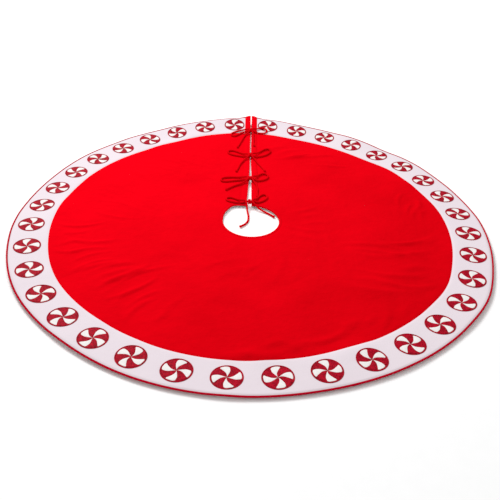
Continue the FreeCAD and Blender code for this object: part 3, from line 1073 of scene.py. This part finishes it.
@dataclass
class PeppermintRing:
    """The embroidered discs, numbered clockwise from the slit.

    Attributes:
        shop: sizes, drape and finishes.
        steps: cells round a disc, eight sectors of equal count.
        rings: radii of the rings of cells, as shares of the disc's.
        petal: half the angle that a pale petal takes, in degrees.
        petal_end: share of the radius where the petals end.
        outline: share of the radius where the raised rim starts.
        sweep: how far a petal turns from the middle to the rim, in degrees.
    """

    shop: Workshop
    steps: int = 96
    rings: tuple[float, ...] = (0.0, 0.05, 0.12, 0.20, 0.29, 0.38, 0.47, 0.56, 0.64, 0.71, 0.76,
                                0.80, 0.83, 0.85, 0.865, 0.877, 0.885, 0.925, 0.94, 0.955, 0.97,
                                0.985, 1.0)
    petal: float = 20.5
    petal_end: float = 0.885
    outline: float = 0.925
    sweep: float = 33.0
    seed: int = 36

    def build(self) -> None:
        """Builds the thirty-six discs."""
        dice = random.Random(self.seed)
        for number in range(1, MINTS + 1):
            swirl = Swirl.COUNTER_CLOCKWISE if number % 2 else Swirl.CLOCKWISE
            self.disc(number, swirl, math.radians(dice.uniform(-14, 14)))
        LOG.info("%d embroidered discs", MINTS)

    def disc(self, number: int, swirl: Swirl, turn: float) -> None:
        """One disc.

        Args:
            number: 1 to MINTS.
            swirl: which way its petals turn.
            turn: small turn of the whole disc, in radians.
        """
        cut = self.shop.cut
        azimuth = cut.mint_azimuth(number)
        bm = self.stitched_disc(swirl)
        place = (Matrix.Translation((cut.mint_ring * math.sin(azimuth),
                                     cut.mint_ring * math.cos(azimuth), cut.cloth_top))
                 @ Matrix.Rotation(-azimuth + turn, 4, "Z"))
        bmesh.ops.transform(bm, matrix=place, verts=bm.verts)
        piece = self.shop.finish_piece(bm, f"peppermint_{number:02d}", [RED_THREAD, CREAM_THREAD],
                                       "embroidery")
        if number <= MINTS_ON_FLAP:
            body, node = "right_flap", "mints_right"
        elif number > MINTS - MINTS_ON_FLAP:
            body, node = "left_flap", "mints_left"
        else:
            body, node = "skirt_body", f"mint_{number:02d}"
        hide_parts(node)
        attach(piece, body)

    def stitched_disc(self, swirl: Swirl) -> bmesh.types.BMesh:
        """Swirled petals and rim as raised stitching, flat in the plane at height 0.

        Args:
            swirl: which way the petals turn.

        Returns:
            The disc about the origin, with material 1 on its four pale petals.
        """
        cut = self.shop.cut
        bm = bmesh.new()
        row = [bm.verts.new((share * cut.mint_radius, 0, 0)) for share in self.rings]
        edges = [bm.edges.new(pair) for pair in zip(row, row[1:])]
        bmesh.ops.spin(bm, geom=row + edges, cent=(0, 0, 0), axis=(0, 0, 1),
                       angle=2 * math.pi, steps=self.steps, use_merge=True)
        bmesh.ops.remove_doubles(bm, verts=bm.verts, dist=1e-6)
        self.shop.face_up(bm)
        threads = bm.loops.layers.uv.new("Thread")
        for face in bm.faces:
            self.stitch_face(face, threads)
        for vert in bm.verts:
            self.shape_vertex(vert, swirl)
        return bm

    def stitch_face(self, face: bmesh.types.BMFace, threads: Any) -> None:
        """Picks the thread of one face, and maps the threads' direction.

        Args:
            face: a face of the disc that isn't swirled yet.
            threads: the Thread map.
        """
        cut = self.shop.cut
        middle = face.calc_center_median()
        share = math.hypot(middle.x, middle.y) / cut.mint_radius
        sector = int((math.degrees(math.atan2(middle.y, middle.x)) % 360) // SECTOR)
        pale = sector % 2 == 0 and share < self.petal_end
        face.material_index = 1 if pale else 0
        for loop in face.loops:
            r = math.hypot(loop.vert.co.x, loop.vert.co.y)
            angle = math.atan2(loop.vert.co.y, loop.vert.co.x)
            u = r if share < self.outline else angle * cut.mint_radius
            loop[threads].uv = (u, angle * 0.02)

    def petal_half(self, share: float) -> float:
        """Half the angle of a pale petal at a share of the radius.

        Args:
            share: of the disc's radius.

        Returns:
            Degrees, growing from the middle and closing in a blunt end.
        """
        if share > self.petal_end:
            return SECTOR / 2
        grown = self.petal * min(1.0, share / 0.55) ** 0.55
        end = max(0.0, (share - 0.78) / (self.petal_end - 0.78))
        return max(grown * max(1 - end**4, 0.0) ** 0.4, 1.0)

    def shape_vertex(self, vert: bmesh.types.BMVert, swirl: Swirl) -> None:
        """Swirls one vertex and raises it to the top of the stitching.

        Args:
            vert: a vertex of the flat disc.
            swirl: which way the petals turn.
        """
        r = math.hypot(vert.co.x, vert.co.y)
        share = r / self.shop.cut.mint_radius
        degrees = math.degrees(math.atan2(vert.co.y, vert.co.x)) % 360 + 1e-6
        sector, t = int(degrees // SECTOR), (degrees % SECTOR) / SECTOR
        half = self.petal_half(share)
        reach = half if sector % 2 == 0 else SECTOR - half
        angle = (sector + 2) * SECTOR + (2 * t - 1) * reach
        turned = math.radians(angle + swirl.value * self.sweep * (share - 0.72))
        if share >= 0.999:
            height = -0.3 * MM
        elif share >= self.outline - 1e-6:
            v = max(share - self.outline, 0.0) / (1 - self.outline)
            height = 0.35 * MM + 0.85 * MM * math.sin(math.pi * v) ** 0.5
        elif share > self.petal_end - 1e-6:
            height = 0.45 * MM
        else:
            height = 0.55 * MM * (1 + math.sin(math.pi * t) ** 0.6) * min(1.0, 0.45 + share * 2.2)
        vert.co = (r * math.cos(turned), r * math.sin(turned), height)


# Ties

Route = tuple[tuple[float, float, float], ...]
ON_CLOTH = 9.4  # Height of a cord's line where it lies on the flat cloth, in millimetres.
CROSSING = 0.015  # A route's points above this height are where the cords cross.


def route(*points: tuple[float, ...]) -> Route:
    """Route from points in millimetres, which lie on the cloth where no height is given."""
    return tuple((p[0] / 1000, p[1] / 1000, (p[2] if len(p) > 2 else ON_CLOTH) / 1000)
                 for p in points)


# Each cord from its sewn end, round its loop, over its own start and down its tail.
TIE_ROUTES: dict[tuple[Side, int], Route] = {
    (Side.LEFT, 1): route(
        (-7, 570, 7.6), (-20, 567), (-36, 556), (-47, 539), (-58, 528), (-69, 534), (-70, 549),
        (-61, 562), (-45, 570), (-27, 575, 11), (-12, 576, 16.4), (-8, 564, 16.4), (-16, 549, 11),
        (-25, 530), (-31, 505), (-38, 476), (-45, 450),
    ),
    (Side.RIGHT, 1): route(
        (7, 570, 7.6), (20, 564), (36, 560), (51, 564), (59, 575, 9.6), (55, 588, 9.6),
        (42, 594, 9.6), (29, 590, 9.8), (19, 583, 11.5), (11, 576, 16.4), (8, 563, 16.4),
        (11, 548, 11), (10, 528), (12, 505), (11, 482), (14, 461),
    ),
    (Side.LEFT, 2): route(
        (-7, 384, 7.6), (-20, 382), (-38, 387), (-56, 394), (-71, 403), (-78, 416), (-70, 427),
        (-55, 424), (-39, 412), (-25, 400, 11), (-13, 391, 16.4), (-8, 379, 16.4), (-17, 365, 11),
        (-28, 349), (-36, 328), (-40, 306), (-45, 287),
    ),
    (Side.RIGHT, 2): route(
        (7, 384, 7.6), (20, 382), (36, 388), (50, 398), (61, 411), (69, 426), (64, 439),
        (50, 437), (37, 423), (24, 407, 11), (12, 395, 16.4), (8, 381, 16.4), (14, 366, 11),
        (23, 349), (31, 328), (40, 309), (46, 291),
    ),
    (Side.LEFT, 3): route(
        (-7, 230, 7.6), (-20, 226), (-38, 223), (-58, 219), (-77, 217), (-91, 223), (-92, 236),
        (-80, 244), (-62, 245), (-43, 243), (-25, 241, 11), (-11, 237, 16.4), (-8, 224, 16.4),
        (-17, 211, 11), (-32, 199), (-46, 191), (-60, 179), (-71, 169),
    ),
    (Side.RIGHT, 3): route(
        (7, 230, 7.6), (20, 226), (35, 229), (49, 238), (57, 252), (54, 267), (41, 271),
        (29, 262, 9.6), (20, 249, 11), (11, 239, 16.4), (8, 226, 16.4), (13, 212, 11), (20, 195),
        (22, 173), (19, 152), (21, 131),
    ),
    (Side.LEFT, 4): route(
        (-7, 91, 7.6), (-18, 86), (-32, 83), (-47, 87), (-60, 95), (-67, 107), (-62, 119),
        (-49, 117), (-37, 107, 9.6), (-25, 98, 11), (-13, 93, 16.4), (-9, 80, 16.4),
        (-12, 64, 12.5), (-10, 47, 6.4), (-7, 29, 3.2), (-7, 10, 3.2), (-11, -6, 3.2),
        (-19, -18, 3.2), (-29, -27, 3.8),
    ),
    (Side.RIGHT, 4): route(
        (7, 91, 7.6), (18, 90), (31, 96), (42, 107), (50, 121), (51, 135), (42, 144), (31, 137),
        (23, 122), (16, 108, 11), (10, 96, 16.4), (8, 83, 16.4), (15, 70, 12.5), (27, 60, 6.4),
        (41, 51, 3.2), (54, 40, 3.2), (65, 27, 3.8),
    ),
}


@dataclass
class Bows:
    """Eight sewn cords, two to a bow, with knotted tails and a knot over the slit.

    Attributes:
        shop: sizes, drape and finishes.
        radius: of a cord.
        sink: how much lower than the route a cord settles beside the placket.
        slips: how far each bow has slid towards the hole.
        reach: the farthest a cord's point may lie from its place in the route.
        drawn_in: how near the slit the crossings lie, as a share of the route's distance.
        press: how much lower than the route the crossings and the cord on the placket lie.
        knot_height: of the middle of a bow's knot, in the stack of layers.
    """

    shop: Workshop
    radius: float = 0.0027
    sink: float = 0.0013
    slips: tuple[float, ...] = (0.008, 0.009, 0.007, 0.002)
    reach: float = 0.0115
    drawn_in: float = 0.62
    press: tuple[float, float] = (0.0016, 0.0006)
    knot_height: float = 0.0118

    def build(self) -> None:
        """Builds the four bows."""
        for number in range(1, 5):
            knot = self.middle_knot(number)
            for side in Side:
                self.tie(side, number)
        LOG.info("8 ties in 4 bows")

    def settled(self, side: Side, number: int) -> list[Vector]:
        """The route as the cord lies: on the cloth, with its crossing drawn in to the knot.

        Args:
            side: which cord of the bow.
            number: which bow, counted from the outside.

        Returns:
            The control points of the cord's line.
        """
        route = TIE_ROUTES[(side, number)]
        laid = []
        for x, y, z in route:
            place = Vector((x, y, z))
            on_floor = math.hypot(x, y) < self.shop.cut.hole - 0.006
            y -= 0.0 if on_floor else self.slips[number - 1]
            if z > CROSSING:
                x, z = x * self.drawn_in, z - self.press[0]
            elif not on_floor:
                beside = abs(x) > self.shop.cut.placket_far + 0.002
                z -= self.sink if beside else self.press[1]
            if on_floor:
                dx, dy = self.shop.drape.hole_shift
                laid.append(self.held(place, Vector((x + dx, y + dy, z))))
            else:
                laid.append(self.held(place, self.shop.drape.point(x, y, z)))
        laid[0] = self.held(Vector(route[0]), self.crossing(route[0][1], number))
        return laid

    def crossing(self, y: float, number: int) -> Vector:
        """The middle of a bow's knot, as it lies.

        Args:
            y: where the bow sits along the slit.
            number: which bow.

        Returns:
            The point.
        """
        place = y - self.slips[number - 1]
        height = self.knot_height
        banks = [self.shop.drape.point(x, place, height) for x in (-0.5 * MM, 0.5 * MM)]
        return self.held(Vector((0, y, height)), (banks[0] + banks[1]) / 2)

    def held(self, place: Vector, laid: Vector) -> Vector:
        """Keeps a laid point within reach of its place in the route.

        Args:
            place: the point as the route has it.
            laid: the point as the cloth carries it.

        Returns:
            The laid point, drawn back level if it has gone too far.
        """
        level = Vector((laid.x - place.x, laid.y - place.y))
        room = math.sqrt(max(self.reach**2 - (laid.z - place.z) ** 2, 0.0))
        if level.length > room:
            level *= room / level.length
        return Vector((place.x + level.x, place.y + level.y, laid.z))

    def tie(self, side: Side, number: int) -> None:
        """One cord with its knotted end.

        Args:
            side: which cord of the bow.
            number: which bow.
        """
        points = self.settled(side, number)
        name = f"tie_{side.label}_{number}"
        curve = self.line(f"{name}_cord", points, self.radius)
        cord = self.shop.add(curve, f"{name}_cord", [TIE_CLOTH], "tie_cord")
        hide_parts(name)
        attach(cord, side.flap)
        knot = self.end_knot(f"{name}_knot", points[-1], points[-1] - points[-2])
        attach(knot, side.flap)

    @staticmethod
    def line(name: str, points: Sequence[Vector], radius: float,
             closed: bool = False) -> bpy.types.Curve:
        """Round cord along control points.

        Args:
            name: the curve's name.
            points: the control points.
            radius: of the cord.
            closed: it runs back into its start, and is coarser.

        Returns:
            The curve.
        """
        curve = bpy.data.curves.new(name, "CURVE")
        curve.dimensions = "3D"
        curve.bevel_depth = radius
        curve.bevel_resolution, curve.resolution_u = (3, 4) if closed else (4, 8)
        curve.use_fill_caps = not closed
        spline = curve.splines.new("NURBS")
        spline.points.add(len(points) - 1)
        for place, point in zip(spline.points, points):
            place.co = (*point, 1)
        spline.order_u = 4 if closed else 3
        spline.use_cyclic_u = closed
        spline.use_endpoint_u = not closed
        return curve

    def end_knot(self, name: str, at: Vector, heading: Vector) -> bpy.types.Object:
        """Small overhand knot at the end of a tail.

        Args:
            name: the piece's name.
            at: its middle.
            heading: the way the tail points.

        Returns:
            The knot.
        """
        turn = heading.to_track_quat("X", "Z").to_matrix().to_4x4()
        lobes = []
        for index in range(18):
            t = 2 * math.pi * index / 18
            wide = 0.0021 * (1 + 0.42 * math.cos(3 * t))
            lobes.append(Vector((wide * math.cos(2 * t), wide * math.sin(2 * t),
                                 0.0009 * math.sin(3 * t))))
        points = [Matrix.Translation(at) @ turn @ p for p in lobes]
        return self.loop_piece(name, points, 0.00175)

    def middle_knot(self, number: int) -> bpy.types.Object:
        """Turn of cord that draws both ties of a bow together over the slit.

        Args:
            number: which bow.

        Returns:
            The knot, which stays with the right flap.
        """
        peaks = [p for side in Side for p in TIE_ROUTES[(side, number)] if p[2] > CROSSING]
        y = sum(p[1] for p in peaks) / len(peaks)
        middle = self.crossing(y, number)
        points = []
        for index in range(14):
            t = 4 * math.pi * index / 14
            lean = 0.0030 * math.sin(t / 2)
            points.append(middle + Vector((lean, 0.0072 * math.cos(t), 0.0052 * math.sin(t))))
        piece = self.loop_piece(f"bow_{number}_knot", points, 0.0026)
        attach(piece, Side.RIGHT.flap)
        return piece

    def loop_piece(self, name: str, points: Sequence[Vector], radius: float) -> bpy.types.Object:
        """Closed turn of cord as a mesh.

        Args:
            name: the piece's name.
            points: control points of its line.
            radius: of the cord.

        Returns:
            The new piece.
        """
        curve = self.line(name, points, radius, closed=True)
        holder = bpy.data.objects.new(name, curve)
        bpy.context.scene.collection.objects.link(holder)
        mesh = bpy.data.meshes.new_from_object(holder.evaluated_get(
            bpy.context.evaluated_depsgraph_get()))
        bpy.data.objects.remove(holder)
        bpy.data.curves.remove(curve)
        mesh.materials.clear()
        for polygon in mesh.polygons:
            polygon.use_smooth = True
        return self.shop.add(mesh, name, [TIE_CLOTH], "tie_cord")


# Floor, light and camera


@dataclass
class Studio:
    """Pale floor, soft light and the camera.

    Attributes:
        wardrobe: the finishes.
        height: level that the camera's place and aim are taken from.
        world: strength of the white surroundings.
        key: power of the broad light, in watts.
        key_place: where it stands.
        pool: power of the small light over the skirt.
        pool_place: where it stands.
        eye: the camera's place.
        aim: the point it looks at.
        lens: its focal length in millimetres.
        roll: its turn about its own line of sight, in degrees.
        floor_half: half the side of the floor.
        floor_gap: how far the floor lies below the skirt.
    """

    wardrobe: Wardrobe
    height: float
    world: float = 0.61
    key: float = 235.0
    key_place: tuple[float, ...] = (-2.1, 3.5, 4.1)
    pool: float = 2.1
    pool_place: tuple[float, ...] = (-0.12, 0.10, 1.10)
    eye: tuple[float, ...] = (-0.03183, -1.53225, 0.97504)
    aim: tuple[float, ...] = (-0.00484, -0.15299, 0.0)
    lens: float = 46.12
    roll: float = 1.845
    floor_half: float = 9.0
    floor_gap: float = 0.0004

    def build(self) -> None:
        """Sets up everything that isn't the skirt."""
        self.floor()
        self.light()
        self.camera()
        bpy.context.scene.view_settings.view_transform = "Standard"

    def floor(self) -> None:
        """Plain floor, just under the skirt."""
        bm = bmesh.new()
        bmesh.ops.create_grid(bm, x_segments=4, y_segments=4, size=self.floor_half)
        bmesh.ops.translate(bm, verts=bm.verts, vec=(0, 0, -self.floor_gap))
        mesh = bpy.data.meshes.new("floor")
        bm.to_mesh(mesh)
        bm.free()
        mesh.materials.append(self.wardrobe.take(FloorFinish()))
        floor = bpy.data.objects.new("floor", mesh)
        bpy.context.scene.collection.objects.link(floor)

    def light(self) -> None:
        """White surroundings, a broad light from the back left and a weak one overhead."""
        world = bpy.data.worlds.new("studio")
        bpy.context.scene.world = world
        world.use_nodes = True
        inputs = world.node_tree.nodes["Background"].inputs
        inputs["Color"].default_value = (1, 1, 1, 1)
        inputs["Strength"].default_value = self.world
        self.lamp("key", self.key, 2.0, Vector(self.key_place), Vector((0.1, -0.1, 0)))
        self.lamp("pool", self.pool, 0.5, Vector(self.pool_place), Vector((-0.10, 0.05, 0)))

    @staticmethod
    def lamp(name: str, power: float, size: float, place: Vector, aim: Vector) -> None:
        """Adds one round area lamp that the camera doesn't see.

        Args:
            name: the lamp's name.
            power: in watts.
            size: its diameter.
            place: where it stands.
            aim: the point it shines at.
        """
        lamp = bpy.data.lights.new(name, "AREA")
        lamp.shape = "DISK"
        lamp.size = size
        lamp.energy = power
        holder = bpy.data.objects.new(name, lamp)
        holder.location = place
        holder.rotation_mode = "QUATERNION"
        holder.rotation_quaternion = (aim - place).to_track_quat("-Z", "Y")
        holder.visible_camera = False
        bpy.context.scene.collection.objects.link(holder)

    def camera(self) -> None:
        """Looks down on the skirt from the front, opposite the slit."""
        lens = bpy.data.cameras.new("camera")
        lens.lens = self.lens
        lens.sensor_width = 36
        lens.clip_end = 50
        camera = bpy.data.objects.new("camera", lens)
        level = Vector((0, 0, self.height))
        camera.location = Vector(self.eye) + level
        aim = Vector(self.aim) + level - camera.location
        camera.rotation_mode = "QUATERNION"
        tilt = aim.to_track_quat("-Z", "Y")
        roll = Matrix.Rotation(math.radians(self.roll), 4, "Z").to_quaternion()
        camera.rotation_quaternion = tilt @ roll
        bpy.context.scene.collection.objects.link(camera)
        bpy.context.scene.camera = camera


STATIONS = (
    Station(0, -9, 0, 18.5), Station(8, -4, 0, 17.5), Station(15, 6.5, 0, 13.5),
    Station(25, 12, 0, 8), Station(35, 17, 0, 9), Station(45, 18, 0, 2), Station(55, 9, 1, 1),
    Station(65, 12, 1.5, 1), Station(80, 9, 1.5, 1), Station(90, 7, 4, 6), Station(100, 5, 5, 8),
    Station(110, 1, 3, 7), Station(120, -6, 0, 5), Station(132, -3, 0, 4), Station(150, 0, 0, 3.5),
    Station(168, 2, 0, 3.5), Station(182, -1.5, 0, 3.5), Station(200, -3.5, 0, 4),
    Station(220, -1, 0, 5), Station(240, -4, 0, 7), Station(258, 1, 2, 8), Station(268, 2.5, 3, 6),
    Station(276, 4, 1.5, 1.5), Station(288, 6, 1.5, 1), Station(305, 3, 0, 2.5),
    Station(315, 6, 0, 3.5), Station(323, 10, 0, 8), Station(331, 11, 0, 12.5),
    Station(338, 2, 0, 14), Station(346, -6, 0, 15.5), Station(353, -9, 0, 18),
    Station(360, -9, 0, 18.5),
)

FANS = (
    WrinkleFan(252, 13, 400, 545, 8, 4, 2.9, 6),
    WrinkleFan(232, 10, 330, 540, 7, 14, 3.4, 8),
    WrinkleFan(213, 9, 380, 535, 5, 10, 2.7, 8),
    WrinkleFan(105, 9, 270, 545, 6, -14, 3.3, 9),
    WrinkleFan(122, 8, 330, 540, 5, -22, 3.0, 10),
    WrinkleFan(76, 6, 400, 530, 6, -58, 2.6, 7),
    WrinkleFan(30, 16, 300, 520, 6, 42, 2.8, 9),
    WrinkleFan(178, 14, 430, 545, 5, 78, 3.2, 11),
    WrinkleFan(150, 12, 430, 545, 4, 62, 2.8, 11),
    WrinkleFan(290, 18, 330, 520, 6, 12, 1.8, 8),
    WrinkleFan(320, 14, 300, 500, 5, -24, 1.5, 9),
    WrinkleFan(180, 60, 160, 330, 10, 30, 1.5, 11),
    WrinkleFan(90, 30, 110, 230, 5, -8, 1.7, 9),
)


def main() -> None:
    """Builds the skirt on its frame, then the studio round it."""
    logging.basicConfig(level=logging.INFO, format="%(name)s: %(message)s")
    cut = Cut.from_frame()
    shop = Workshop(cut, Drape(cut, STATIONS, FANS))
    Studio(shop.wardrobe, cut.cloth_top + 0.0015).build()
    Bows(shop).build()
    ClothLayers(shop).build()
    Edging(shop).build()
    Plackets(shop).build()
    PeppermintRing(shop).build()
    LOG.info("%d pieces", shop.count)


if __name__ == "__main__":
    main()
